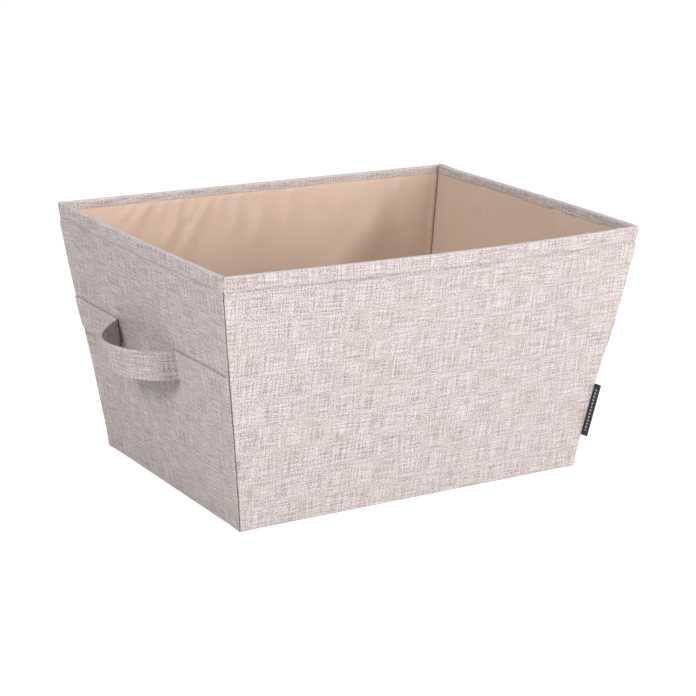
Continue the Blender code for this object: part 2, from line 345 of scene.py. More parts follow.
def woven_cloth(name, pitch, dark, mid, light, contrast, streaks, speck, bump, roughness, sheen, crease=None):
    """A plain weave on the flat cloth's own coordinates.

    Each yarn has a rounded back, warp and weft pass over one another by turns, and slow noise
    stretched along each set of yarns gives thick and thin places. Fine noise gives the light and dark
    fibres: speck is (size, contrast). A crease is (place across the cloth, half width, share): a painted
    highlight, where the colour is mixed towards the light yarn colour in a band along the fold."""
    material, tree = new_material(name)
    place = make_node(tree, "ShaderNodeUVMap", uv_map="Cloth")[0]
    waver = make_node(tree, "ShaderNodeTexNoise", {"Vector": place, "Scale": 240.0, "Detail": 2.0})["Color"]
    off = make_node(tree, "ShaderNodeVectorMath", {0: waver, 1: (0.5, 0.5, 0.5)}, operation="SUBTRACT")[0]
    off = make_node(tree, "ShaderNodeVectorMath", {0: off, "Scale": pitch * 1.1}, operation="SCALE")[0]
    moved = make_node(tree, "ShaderNodeVectorMath", {0: place, 1: off}, operation="ADD")[0]
    parts = make_node(tree, "ShaderNodeSeparateXYZ", {0: moved})
    counts = [calc(tree, "DIVIDE", parts[n], pitch) for n in (0, 1)]
    whole = [calc(tree, "FLOOR", value) for value in counts]
    over = calc(tree, "FLOORED_MODULO", calc(tree, "ADD", *whole), 2.0)
    backs = []
    for value in counts:
        side = calc(tree, "MULTIPLY_ADD", calc(tree, "FRACT", value), 2.0, -1.0)
        backs.append(calc(tree, "SUBTRACT", 1.0, calc(tree, "MULTIPLY", side, side)))
    tops = [
        calc(tree, "MULTIPLY", backs[0], calc(tree, "MULTIPLY_ADD", backs[1], 0.4, 0.6)),
        calc(tree, "MULTIPLY", backs[1], calc(tree, "MULTIPLY_ADD", backs[0], 0.4, 0.6)),
    ]
    height = make_node(tree, "ShaderNodeMix", {0: over, 2: tops[1], 3: tops[0]})[0]
    tones = []
    for stretch in ((streaks[0], streaks[1], 1.0), (streaks[1], streaks[0], 1.0)):
        spread = make_node(tree, "ShaderNodeVectorMath", {0: moved, 1: stretch}, operation="MULTIPLY")[0]
        noise = {"Vector": spread, "Scale": 1.0, "Detail": 2.5}
        tones.append(make_node(tree, "ShaderNodeTexNoise", noise)[0])
    tone = make_node(tree, "ShaderNodeMix", {0: over, 2: tones[1], 3: tones[0]})[0]
    tone = calc(tree, "MULTIPLY_ADD", calc(tree, "SUBTRACT", tone, 0.5), contrast, 0.5)
    fleck = make_node(tree, "ShaderNodeTexNoise", {"Vector": moved, "Scale": speck[0], "Detail": 1.0})[0]
    tone = calc(tree, "MULTIPLY_ADD", calc(tree, "SUBTRACT", fleck, 0.5), speck[1], tone)
    # Painted shade: the colour darkens where a yarn lies low, in the hollows between the crossing yarns.
    deep = calc(tree, "MULTIPLY_ADD", height, 0.10, -0.06)
    tone = calc(tree, "ADD", tone, deep)
    low = make_node(tree, "ShaderNodeMapRange", {0: tone, 1: 0.0, 2: 0.5})[0]
    high = make_node(tree, "ShaderNodeMapRange", {0: tone, 1: 0.5, 2: 1.0})[0]
    colour = mix_colour(tree, low, (*dark, 1), (*mid, 1))
    colour = mix_colour(tree, high, colour, (*light, 1))
    cloud = make_node(tree, "ShaderNodeTexNoise", {"Vector": place, "Scale": 22.0, "Detail": 3.0})[0]
    cloud = make_node(tree, "ShaderNodeMapRange", {0: cloud, 1: 0.50, 2: 0.72, 3: 0.0, 4: 0.22})[0]
    colour = mix_colour(tree, cloud, colour, (mid[0] * 0.92, mid[1] * 0.89, mid[2] * 0.78, 1))
    # Painted highlight: the colour is mixed towards the light yarn colour in a band along the crease.
    if crease:
        fold, half, share = crease
        across = make_node(tree, "ShaderNodeSeparateXYZ", {0: place})[1]
        off = calc(tree, "ABSOLUTE", calc(tree, "SUBTRACT", across, fold))
        painted_highlight = make_node(tree, "ShaderNodeMapRange", {0: off, 1: half, 2: half * 0.6, 3: 0.0, 4: share})[0]
        colour = mix_colour(tree, painted_highlight, colour, (*light, 1))
    raised = calc(tree, "MULTIPLY_ADD", tone, 0.8, height)
    relief = {"Height": raised, "Strength": bump, "Distance": pitch * 0.60}
    normal = make_node(tree, "ShaderNodeBump", relief)[0]
    values = {"Roughness": roughness, "Specular IOR Level": 0.2}
    values |= {"Sheen Weight": sheen, "Sheen Roughness": 0.5}
    finish_shader(tree, colour, normal, values)
    return material


linen = woven_cloth("linen", **LINEN)


def wall_rows(low, top, steps, roll):
    """Heights, outline insets and cloth heights of a panel's rows: a roll under at the foot, then up
    the wall.

    The roll is an arc that starts inside the base seam and comes round to the wall."""
    turn = np.radians(np.linspace(150, 0, 12))
    heights = low + roll * (1 - np.sin(turn))
    insets = roll * (1 - np.cos(turn))
    below_rim = np.array([0.0185, 0.0170, 0.0158, 0.0148, 0.0140, 0.0133, 0.0127, 0.0121, 0.0114, 0.0106])
    rise = np.sort(np.concatenate([np.linspace(low + roll, top, steps + 1)[1:], RIM_TOP - below_rim]))
    z = np.concatenate([heights, rise])
    inset = np.concatenate([insets, np.zeros(len(rise))])
    cloth = np.concatenate([(np.radians(150) - turn) * roll, np.radians(150) * roll + (rise - low - roll)])
    return z, inset, cloth


def panel_columns(flat_steps):
    """Columns of a panel: share of the wall's half length, shift from there, inset and place along the
    cloth."""
    back, inset, length = corner_path()
    part = np.linspace(-1, 1, flat_steps + 1)[1:-1]
    share = np.concatenate([-np.ones(len(back)), part, np.ones(len(back))])
    shift = np.concatenate([back[::-1], -part * back[0], -back])
    deep = np.concatenate([inset[::-1], np.zeros(len(part)), inset])
    cloth = np.concatenate([-length[::-1], -part * back[0], length])
    return share, shift, deep, cloth


for number, wall in enumerate(WALL_SIGHT):
    z, foot, climb = wall_rows(COVER_FOOT, WALL_TOP, 30, BASE_ROUND)
    share, shift, deep, spread = panel_columns(52 if wall in ("front", "back") else 40)
    z, foot, climb = z[:, None], foot[:, None], climb[:, None]
    half = reach_along(wall, z)
    along = share * (half - foot) + shift
    from_corner = half - np.abs(along)
    swell = COVER_SWELL * np.sin(along * 61 + number * 2.1 + z * 17) * np.sin(z * 43 + number + along * 9)
    swell = swell * smooth_step(from_corner, 0.003, 0.03) * smooth_step(z, 0.004, 0.03)
    if wall in ("left", "right"):
        strip = smooth_step(from_corner, 0.0020, 0.0030)
        strip = strip * (1 - smooth_step(from_corner, ALLOWANCE_WIDTH, ALLOWANCE_WIDTH + ALLOWANCE_SLOPE))
        strip = strip * (0.55 + 0.45 * smooth_step(z, 0.10, 0.20)) * smooth_step(z, 0.002, 0.01)
        swell = swell + ALLOWANCE_RAISE * strip
    hem_dent = HEM_DENT * np.exp(-(((z - RIM_TOP + 0.0122) / 0.0016) ** 2))
    swell = swell - hem_dent * smooth_step(from_corner, 0.006, 0.022)
    ear = FOOT_EAR * np.exp(-((from_corner / 0.009) ** 2) - ((z / 0.007) ** 2))
    full = corner_full(wall, along, z) + ear
    points = on_wall(wall, along + np.sign(along) * full, deep + foot - swell - full, z)
    places = on_grid(share * half + spread + number * CUT_APART, climb)
    cover = grid_object(f"{wall}_cover", points, places)
    cover.data.materials.append(linen)
    thicken(cover, COVER_THICKNESS)
    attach(cover, "bin_body")
    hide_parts(f"{wall}_outer")

# ----------------------------------------------------------------------
# Corner seams: the raw edges of two covers pressed together inside each corner and sewn, which close the
# groove between the panels.
# ----------------------------------------------------------------------
SEAM_STRIP_OUT, SEAM_STRIP_IN, SEAM_STRIP_HALF, SEAM_STRIP_LOW = 0.0019, 0.0032, 0.00034, 0.0012
SEAM_STRIP_CUT = 9.0  # its place along the cloth
for number, wall in enumerate(WALL_SIGHT):
    z = np.linspace(SEAM_STRIP_LOW, WALL_TOP, 60)[:, None]
    full = corner_full(wall, reach_along(wall, z), z)
    depth = np.linspace(SEAM_STRIP_OUT, SEAM_STRIP_IN, 7)
    depth = np.concatenate([depth, depth[::-1]])
    lean = np.repeat([SEAM_STRIP_HALF, -SEAM_STRIP_HALF], 7) / np.sqrt(2)
    inset = depth - full * (1 - smooth_step(depth, SEAM_STRIP_OUT, SEAM_STRIP_IN))
    points = on_wall(wall, reach_along(wall, z) - inset + lean, inset + lean, z)
    places = on_grid(np.linspace(0, 0.003, 15) + SEAM_STRIP_CUT + number, z)
    seam = grid_object(f"{wall}_corner_seam", points, places, closed=True, capped=(0, -1))
    seam.data.materials.append(linen)
    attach(seam, "bin_body")

# ----------------------------------------------------------------------
# Base cover: one flat linen rectangle under the bin, turned up into the base seam all round.
# ----------------------------------------------------------------------
BASE_EDGE_TURN = 0.0009
BASE_SEAM_INSET, BASE_SAG = 0.0028, 0.00012
BASE_CUT = 4.0  # its place along the cloth


def edge_run(half, turn, steps):
    """Places along one side of a flat sheet whose edge turns through a quarter circle, as (offset,
    rise, cloth)."""
    angle = np.radians(np.linspace(0, 90, 6))[1:]
    flat = np.linspace(-(half - turn), half - turn, steps + 1)
    over = half - turn + turn * np.sin(angle)
    rise = turn * (1 - np.cos(angle))
    cloth = half - turn + turn * angle
    offset = np.concatenate([-over[::-1], flat, over])
    return offset, np.concatenate([rise[::-1], flat * 0, rise]), np.concatenate([-cloth[::-1], flat, cloth])


x, lift_x, cloth_x = edge_run(HALF_LENGTH_LOW - BASE_SEAM_INSET, BASE_EDGE_TURN, 40)
y, lift_y, cloth_y = edge_run(HALF_WIDTH_LOW - BASE_SEAM_INSET, BASE_EDGE_TURN, 30)
y, lift_y, cloth_y = y[:, None], lift_y[:, None], cloth_y[:, None]
sag = BASE_SAG * (1 + np.sin(x * 47 + y * 23) * np.sin(y * 39 - x * 11))
level = np.maximum(lift_x, lift_y) + sag * (lift_x == 0) * (lift_y == 0)
points = on_grid(x, y, level)
places = on_grid(cloth_x + BASE_CUT, cloth_y)
base_cover = grid_object("base_cover", points[::-1], places[::-1])
base_cover.data.materials.append(linen)
thicken(base_cover, COVER_THICKNESS)
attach(base_cover, "bin_body")
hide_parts("base_outer")

# ----------------------------------------------------------------------
# Wall boards: grey card stiffeners inside the walls, cut to the tapered panels. The CAD boards are kept.
# ----------------------------------------------------------------------
card, tree = new_material("grey_card")
place = make_node(tree, "ShaderNodeTexCoord")["Object"]
fibre = make_node(tree, "ShaderNodeTexNoise", {"Vector": place, "Scale": 900.0, "Detail": 4.0})[0]
fleck = make_node(tree, "ShaderNodeTexNoise", {"Vector": place, "Scale": 160.0, "Detail": 3.0})[0]
grain = calc(tree, "MULTIPLY_ADD", fleck, 0.5, calc(tree, "MULTIPLY", fibre, 0.5))
colour = mix_colour(tree, grain, (0.22, 0.20, 0.17, 1), (0.44, 0.40, 0.35, 1))
normal = make_node(tree, "ShaderNodeBump", {"Height": fibre, "Strength": 0.3, "Distance": 0.0001})[0]
finish_shader(tree, colour, normal, {"Roughness": 0.95})
for name in ("front_board", "back_board", "left_board", "right_board", "insert_board"):
    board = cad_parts[name]
    board.data.materials.clear()
    board.data.materials.append(card)

# ----------------------------------------------------------------------
# Lining: four panels of thin plain taupe cloth sewn to one another at the corners and caught under the
# rim binding. It hangs a little slack over the boards, so the back panel fans into folds below its hem.
# ----------------------------------------------------------------------
LINING_FACE = 0.0034
LINING_THICKNESS = 0.0004
LINING_LOW = 0.0012
FOLD_DEPTH = 3.0
LINING_ROUND, LINING_SEAM_GAP, LINING_TAIL = 0.0011, 0.00030, 0.0004
LINING_HELD = (0.2095, 0.2125)  # the binding grips the lining from here up
LONG_GATHER, SHORT_GATHER, LONG_PUCKER, SHORT_PUCKER = 0.00045, 0.00012, 0.0012, 0.00015
# Folds: start and end on the wall as (along to the right seen from inside, height), raise, width above
# and below
BACK_FOLDS = (
    ((-0.131, 0.212), (-0.143, 0.194), 0.0005, 0.005, 0.0035),
    ((-0.116, 0.212), (-0.134, 0.186), 0.0009, 0.007, 0.0035),
    ((-0.097, 0.212), (-0.106, 0.198), 0.0005, 0.005, 0.003),
    ((-0.084, 0.212), (-0.104, 0.168), 0.0012, 0.009, 0.0035),
    ((-0.070, 0.212), (-0.078, 0.190), 0.0006, 0.006, 0.003),
    ((-0.056, 0.212), (-0.092, 0.150), 0.0008, 0.009, 0.005),
    ((-0.040, 0.212), (-0.047, 0.192), 0.0006, 0.006, 0.003),
    ((-0.024, 0.212), (-0.034, 0.176), 0.0008, 0.008, 0.004),
    ((-0.003, 0.212), (-0.010, 0.160), 0.0009, 0.012, 0.005),
    ((0.029, 0.212), (0.023, 0.172), 0.0008, 0.012, 0.005),
    ((0.060, 0.212), (0.056, 0.192), 0.0004, 0.012, 0.006),
    ((0.091, 0.212), (0.086, 0.188), 0.0005, 0.012, 0.006),
    ((0.120, 0.182), (0.030, 0.104), 0.0012, 0.034, 0.011),
    ((0.120, 0.182), (0.030, 0.104), 0.0030, 0.040, 0.050),
    ((0.150, 0.212), (0.146, 0.196), 0.0004, 0.006, 0.004),
)
FRONT_FOLDS = (
    ((-0.120, 0.212), (-0.128, 0.170), 0.0010, 0.011, 0.006),
    ((-0.052, 0.212), (-0.040, 0.150), 0.0012, 0.012, 0.007),
    ((0.034, 0.212), (0.046, 0.166), 0.0010, 0.012, 0.006),
    ((0.128, 0.212), (0.108, 0.140), 0.0014, 0.013, 0.008),
    ((0.150, 0.120), (0.010, 0.062), 0.0020, 0.028, 0.016),
)
SIDE_FOLDS = (
    ((-0.070, 0.212), (-0.078, 0.182), 0.0004, 0.012, 0.008),
    ((0.040, 0.212), (0.046, 0.186), 0.0004, 0.012, 0.008),
    ((0.090, 0.090), (-0.030, 0.045), 0.0012, 0.026, 0.018),
)
lining_cloth = woven_cloth(
    "lining_cloth",
    pitch=0.00032,
    dark=(0.446, 0.322, 0.243),
    mid=(0.561, 0.419, 0.332),
    light=(0.66, 0.52, 0.433),
    contrast=0.7,
    streaks=(1400.0, 60.0),
    speck=(1500.0, 0.5),
    bump=0.25,
    roughness=0.7,
    sheen=0.12,
)


def fold_raise(right, z, folds):
    """Raise of a sheet from its folds. Each fold is a crest along a line that fades at its lower end,
    with a bell shaped slope of its own width on each side."""
    total = np.zeros(np.broadcast(right, z).shape)
    for (x0, z0), (x1, z1), raise_by, above, below in folds:
        length = np.hypot(x1 - x0, z1 - z0)
        ux, uz = (x1 - x0) / length, (z1 - z0) / length
        part = ((right - x0) * ux + (z - z0) * uz) / length
        off = (right - x0) * uz - (z - z0) * ux
        off = off + 0.0015 * np.sin(part * 5 + x0 * 90)
        width = np.where(off > 0, below, above) * (0.75 + 0.5 * np.clip(part, 0, 1))
        fade = smooth_step(part, -0.22, 0.12) * (1 - smooth_step(part, 0.55, 1.15))
        total = total + raise_by * fade * np.exp(-((off / width) ** 2))
    return total * FOLD_DEPTH


turn = np.radians(np.linspace(0, 45, 5))
lining_end = np.stack([LINING_ROUND * np.sin(turn), -LINING_ROUND * (1 - np.cos(turn))], axis=1)
lining_end = np.concatenate([lining_end, lining_end[-1:] + LINING_TAIL * np.array([[0.7071, -0.7071]])])
lining_start = LINING_FACE + lining_end[4, 1] + LINING_SEAM_GAP * 1.414 + lining_end[4, 0]
lining_back = lining_start - lining_end[:, 0]
lining_deep = LINING_FACE + lining_end[:, 1]
lining_length = running_length(lining_end) - lining_start
for number, wall in enumerate(WALL_SIGHT):
    steps = 190 if wall in ("front", "back") else 130
    part = np.linspace(-1, 1, steps + 1)[1:-1]
    share = np.concatenate([-np.ones(len(lining_back)), part, np.ones(len(lining_back))])
    shift = np.concatenate([lining_back[::-1], -part * lining_back[0], -lining_back])
    deep = np.concatenate([lining_deep[::-1], part * 0 + LINING_FACE, lining_deep])
    spread = np.concatenate([-lining_length[::-1], -part * lining_back[0], lining_length])
    z = np.linspace(LINING_LOW, WALL_TOP, 111)[:, None]
    half = reach_along(wall, z)
    along = share * half + shift
    from_corner = half - LINING_FACE - np.abs(along)
    folds = {"back": BACK_FOLDS, "front": FRONT_FOLDS}.get(wall, SIDE_FOLDS)
    slack = fold_raise(-along, z, folds)
    slack = slack + 0.00025 * (1 + np.sin(along * 37 + number * 1.7) * np.sin(z * 61 + along * 13))
    slack = slack * smooth_step(from_corner, 0.002, 0.016) * smooth_step(z, 0.008, 0.03)
    free = 1 - smooth_step(z, *LINING_HELD)
    slack = slack * free
    below_hem = RIM_TOP - 0.0070 - z
    gather = np.sin(along * 690 + 2.5 * np.sin(along * 71 + number) - below_hem * 190)
    gather = gather * np.exp(-np.maximum(below_hem, 0) / 0.010)
    gather = gather * (0.6 + 0.4 * np.sin(along * 23 + 1.3 * number))
    gather = gather * (LONG_GATHER if wall in ("front", "back") else SHORT_GATHER)
    gather = np.maximum(gather, 0) * smooth_step(from_corner, 0.004, 0.012)
    slack = slack + gather * (1 - smooth_step(z, 0.2105, 0.2125))
    pucker = 1 + 0.35 * np.sin(z * 1150 + number) * np.sin(z * 310 + 2 * number)
    seam = smooth_step(from_corner, 0.0004, 0.0012) * (1 - smooth_step(from_corner, 0.0040, 0.0062))
    seam = seam * (0.35 + 0.65 * smooth_step(z, 0.10, 0.19)) * smooth_step(z, 0.008, 0.02)
    strength = LONG_PUCKER if wall in ("front", "back") else SHORT_PUCKER
    slack = slack + strength * seam * pucker * free
    points = on_wall(wall, along, deep + slack, z)
    places = on_grid(share * half + spread + number * CUT_APART, z * 1.012)
    lining = grid_object(f"{wall}_lining_cloth", points[:, ::-1], places[:, ::-1])
    lining.data.materials.append(lining_cloth)
    thicken(lining, LINING_THICKNESS)
    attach(lining, "bin_body")
    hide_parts(f"{wall}_lining")

# ----------------------------------------------------------------------
# Base lining: the same taupe cloth laid flat on the floor of the bin, under the lift-out insert.
# ----------------------------------------------------------------------
FLOOR_LINING_INSET, FLOOR_LINING_LEVEL, FLOOR_LINING_RIPPLE = 0.0042, 0.00150, 0.00008
x = np.linspace(-1, 1, 61) * (HALF_LENGTH_LOW - FLOOR_LINING_INSET)
y = (np.linspace(-1, 1, 45) * (HALF_WIDTH_LOW - FLOOR_LINING_INSET))[:, None]
ripple = FLOOR_LINING_RIPPLE * (1 + np.sin(x * 52 + y * 31) * np.sin(y * 44 - x * 17))
points = on_grid(x, y, FLOOR_LINING_LEVEL + ripple)
places = on_grid(x + BASE_CUT, y)
floor_lining = grid_object("base_lining_cloth", points, places)
floor_lining.data.materials.append(lining_cloth)
thicken(floor_lining, LINING_THICKNESS)
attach(floor_lining, "bin_body")
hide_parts("base_lining")

# ----------------------------------------------------------------------
# Rim binding: one linen tape folded over the top edge with both edges turned in, mitred at the corners
# and sewn through below. Its ends meet at the back right corner.
# ----------------------------------------------------------------------
BINDING_OUTSIDE, BINDING_INSIDE = -0.0009, 0.0043
DEPTH_OUTSIDE, DEPTH_INSIDE = 0.0120, 0.0070
BINDING_EDGE = 0.00032
HEM_STITCH = 0.0016
TAPE_JOIN = 1  # the corner after the second wall, at the back right
TAPE_LAP_START, TAPE_LAP_END, TAPE_LAP_DROP, TAPE_TIP = (-0.110, -0.108), (0.008, 0.0095), 0.0012, 0.0013
TAPE_THICKNESS, TAPE_BELLY, HEM_STAND = 0.0005, 0.00016, 0.00045
RIM_SHOULDER, RIM_CORNER, RIM_CORNER_LEAST = 0.0018, 0.0018, 0.0004
# Half width and strength of the painted highlight along the tape's fold
TAPE_FOLD_HIGHLIGHT_HALF, TAPE_FOLD_HIGHLIGHT_SHARE = 0.0033, 0.55
TAPE_CUT = 5.0  # its place across the cloth


def binding_section():
    """The tape's outer face in section as (inset, height): a rolled edge outside, up, over the rim as
    half a squared ellipse, down inside and a rolled edge again, with the arc length from the outside
    edge."""
    roll = np.radians(np.linspace(-70, 90, 6))
    low_out = np.stack([BINDING_OUTSIDE + BINDING_EDGE * (1 - np.sin(roll)),
                        RIM_TOP - DEPTH_OUTSIDE + BINDING_EDGE * (1 - np.cos(roll))], axis=1)
    middle, reach = (BINDING_OUTSIDE + BINDING_INSIDE) / 2, (BINDING_INSIDE - BINDING_OUTSIDE) / 2
    climb = np.linspace(RIM_TOP - DEPTH_OUTSIDE + BINDING_EDGE, RIM_TOP - RIM_SHOULDER, 8)[1:]
    belly = TAPE_BELLY * np.sin(np.pi * np.linspace(0, 1, 8)[1:])
    low_out[:, 0] -= HEM_STAND
    up = np.stack([BINDING_OUTSIDE - belly - HEM_STAND * np.linspace(1, 0, 8)[1:] ** 2, climb], axis=1)
    over = np.radians(np.linspace(0, 180, 19))[1:]
    across = np.sign(np.cos(over)) * np.abs(np.cos(over)) ** 0.75
    height = RIM_TOP - RIM_SHOULDER + RIM_SHOULDER * np.abs(np.sin(over)) ** 0.6
    top = np.stack([middle - reach * across, height], axis=1)
    fall = np.linspace(RIM_TOP - RIM_SHOULDER, RIM_TOP - DEPTH_INSIDE + BINDING_EDGE, 8)[1:]
    down = np.stack([BINDING_INSIDE + belly, fall], axis=1)
    low_in = np.stack([BINDING_INSIDE - BINDING_EDGE * (1 - np.sin(roll)),
                       RIM_TOP - DEPTH_INSIDE + BINDING_EDGE * (1 - np.cos(roll))], axis=1)[::-1][1:]
    path = np.concatenate([low_out, up, top, down, low_in])
    length = running_length(path)
    return path[:, 0], path[:, 1], length


def rim_stations(flat_steps, corner_steps):
    """Stations round the rim as (wall, share of the half run, turn through the corner, running length)."""
    walls, shares, turns, lengths = [], [], [], []
    travelled = 0.0
    for number, wall in enumerate(WALL_SIGHT):
        run = 2 * float(reach_along(wall, RIM_TOP))
        close = 1 - np.array([0.0003, 0.0007, 0.0012, 0.0018, 0.0026, 0.0038]) * 2 / run
        part = np.sort(np.concatenate([np.linspace(-1, 1, flat_steps + 1), close, -close]))
        walls += [number] * len(part)
        shares += part.tolist()
        turns += [0.0] * len(part)
        lengths += (travelled + (part + 1) / 2 * run).tolist()
        inner = np.linspace(0, 90, corner_steps + 1)[1:-1]
        walls += [number] * len(inner)
        shares += [1.0] * len(inner)
        turns += inner.tolist()
        lengths += (travelled + run + 0.0001 * np.arange(1, len(inner) + 1)).tolist()
        travelled += run
    return np.array(walls), np.array(shares), np.radians(turns), np.array(lengths), travelled


def rim_points(walls, shares, turns, inset, z):
    """Points round the rim at given insets and heights. Each corner is an arc whose radius shrinks
    with the inset."""
    points = np.zeros((*np.broadcast(inset, walls[None, :]).shape, 3))
    for number, wall in enumerate(WALL_SIGHT):
        pick = walls == number
        share, turn = shares[pick], turns[pick]
        here = np.broadcast_to(inset, points.shape[:2])[:, pick]
        bend = np.maximum(RIM_CORNER - here, RIM_CORNER_LEAST)
        along = share * (reach_along(wall, z) - here - bend) + bend * np.sin(turn) * (turn > 0)
        deep = here + bend * (1 - np.cos(turn))
        points[:, pick] = on_wall(wall, along, deep, z)
    return points


inset, height, section = binding_section()
rim_fold = float(section[12] + section[31]) / 2 + TAPE_CUT  # halfway between the two shoulders
# The tape's cloth carries a painted highlight: a paler band of colour over the fold on top of the rim.
tape_linen = woven_cloth("tape_linen", **LINEN, crease=(rim_fold, TAPE_FOLD_HIGHLIGHT_HALF, TAPE_FOLD_HIGHLIGHT_SHARE))
walls, shares, turns, lengths, around = rim_stations(70, 18)
inset, height = inset[:, None], height[:, None]
half_runs = np.array([float(reach_along(wall, RIM_TOP)) for wall in WALL_SIGHT])[walls]
bend = np.maximum(RIM_CORNER - inset, RIM_CORNER_LEAST)
beside = (1 - np.abs(shares)) * half_runs + bend * (np.radians(45) - turns * (turns < np.radians(45)))
beside = np.where(turns > np.radians(45), bend * (turns - np.radians(45)), beside)
joined = ((walls == TAPE_JOIN) & (shares > 0)) | ((walls == TAPE_JOIN + 1) & (shares < 0))
crease = np.exp(-((beside / np.where(joined, 0.00055, 0.0004)) ** 2)) * np.where(joined, 0.0021, 0.0006)
outer_face, inner_face = inset < BINDING_OUTSIDE + 0.0006, inset > BINDING_INSIDE - 0.0006
groove = np.exp(-(((height - RIM_TOP + DEPTH_OUTSIDE - HEM_STITCH) / 0.00045) ** 2)) * outer_face
groove = groove + np.exp(-(((height - RIM_TOP + DEPTH_INSIDE - HEM_STITCH) / 0.00045) ** 2)) * inner_face
wave = 0.00012 * np.sin(lengths * 210) * np.sin(lengths * 47 + section[:, None] * 300)
inwards = outer_face * 1.0 - inner_face * 1.0
points = rim_points(walls, shares, turns, inset + inwards * (wave + crease + 0.00025 * groove), height)
beside_wall = shares * half_runs
lap = smooth_step(beside_wall, *TAPE_LAP_START) * (1 - smooth_step(beside_wall, *TAPE_LAP_END))
lap = lap * (walls == TAPE_JOIN) * (turns == 0)
points[..., 2] -= TAPE_LAP_DROP * lap * inner_face * smooth_step(RIM_TOP - height, 0.003, 0.006)
wall_end = float(half_width(RIM_TOP))
tip = smooth_step(shares * wall_end, wall_end - 0.034, wall_end - 0.002)
tip = TAPE_TIP * tip * (walls == TAPE_JOIN) * (turns < np.radians(46))
tip = tip * smooth_step(height, RIM_TOP - 0.006, RIM_TOP - 0.001)
points[..., 2] += tip - crease * 0.9
places = on_grid(np.append(lengths, around), section[:, None] + TAPE_CUT)
binding = grid_object("rim_tape", points, places, closed=True)
binding.data.materials.append(tape_linen)
thicken(binding, TAPE_THICKNESS)
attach(binding, "bin_body")
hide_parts("rim_binding")

# ----------------------------------------------------------------------
# Rim stitching: two rows of lockstitch in matching thread through both hems of the binding. Each stitch
# is a short arched thread that dives into the cloth at its ends.
# ----------------------------------------------------------------------
STITCH_LENGTH, STITCH_SPACE, STITCH_THICK = 0.0029, 0.0037, 0.00036
thread, tree = new_material("sewing_thread")
place = make_node(tree, "ShaderNodeTexCoord")["Object"]
twist = make_node(tree, "ShaderNodeTexNoise", {"Vector": place, "Scale": 2500.0, "Detail": 1.0})[0]
colour = mix_colour(tree, twist, (0.50, 0.43, 0.42, 1), (0.76, 0.68, 0.67, 1))
normal = make_node(tree, "ShaderNodeBump", {"Height": twist, "Strength": 0.4, "Distance": 0.00008})[0]
finish_shader(tree, colour, normal, {"Roughness": 0.6})


def stitch_shape(line, outward):
    """Corner points of stitches evenly spaced along a line of points. Each is a spindle of three rings
    of six points with a point at each end, lying along the line and arched outwards."""
    length = running_length(line)
    count = int(length[-1] / STITCH_SPACE)
    starts = (np.arange(count) + 0.5) * length[-1] / count
    at = np.stack([np.interp(starts, length, line[:, k]) for k in range(3)], axis=1)
    out = np.stack([np.interp(starts, length, outward[:, k]) for k in range(3)], axis=1)
    ahead = np.stack([np.interp(starts + 0.0005, length, line[:, k]) for k in range(3)], axis=1) - at
    ahead = ahead / np.maximum(np.linalg.norm(ahead, axis=1, keepdims=True), 1e-9)
    out = out - ahead * (out * ahead).sum(axis=1, keepdims=True)
    out = out / np.linalg.norm(out, axis=1, keepdims=True)
    side = np.cross(ahead, out)
    spot = np.array([-0.5, -0.36, 0.0, 0.36, 0.5])
    thick = np.array([0.0, 0.75, 1.0, 0.75, 0.0]) * STITCH_THICK / 2
    rise = (1 - (2 * spot) ** 2) * STITCH_THICK * 0.5 - STITCH_THICK * 0.25
    angle = np.radians(np.arange(6) * 60)
    shape = [(spot[0], 0.0, rise[0])]
    for k in (1, 2, 3):
        shape += [(spot[k], thick[k] * np.cos(a), rise[k] + thick[k] * np.sin(a)) for a in angle]
    shape = np.array([*shape, (spot[4], 0.0, rise[4])])
    along, aside, raised = shape.T[:, :, None]
    points = at[:, None] + ahead[:, None] * along * STITCH_LENGTH
    return points + side[:, None] * aside + out[:, None] * raised


def stitch_row(name, lines):
    """One piece made of the stitches along each (line, outward) pair."""
    points = np.concatenate([stitch_shape(line, outward) for line, outward in lines])
    n = np.arange(6)
    after = (n + 1) % 6
    first_end = np.stack([n * 0, 1 + after, 1 + n], 1)
    last_end = np.stack([n * 0 + 19, 13 + n, 13 + after], 1)
    ends = np.concatenate([first_end, last_end])
    bands = np.concatenate([np.stack([k + n, k + after, k + 6 + after, k + 6 + n], 1) for k in (1, 7)])
    first = 20 * np.arange(len(points))[:, None, None]
    faces = (first + ends).reshape(-1, 3).tolist() + (first + bands).reshape(-1, 4).tolist()
    made = new_object(name, points.reshape(-1, 3).tolist(), faces)
    made.data.materials.append(thread)
    return made


for name, inset, drop, sign in (
    ("rim_stitches_outside", BINDING_OUTSIDE + 0.00012, DEPTH_OUTSIDE, 1),
    ("rim_stitches_inside", BINDING_INSIDE - 0.00012, DEPTH_INSIDE, -1),
):
    level = np.array([[RIM_TOP - drop + HEM_STITCH]])
    line = rim_points(walls, shares, turns, np.array([[inset]]), level)[0]
    beyond = rim_points(walls, shares, turns, np.array([[inset - 0.001 * sign]]), level)[0]
    outward = beyond - line
    row = stitch_row(name, [(np.concatenate([line, line[:1]]), np.concatenate([outward, outward[:1]]))])
    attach(row, "bin_body")

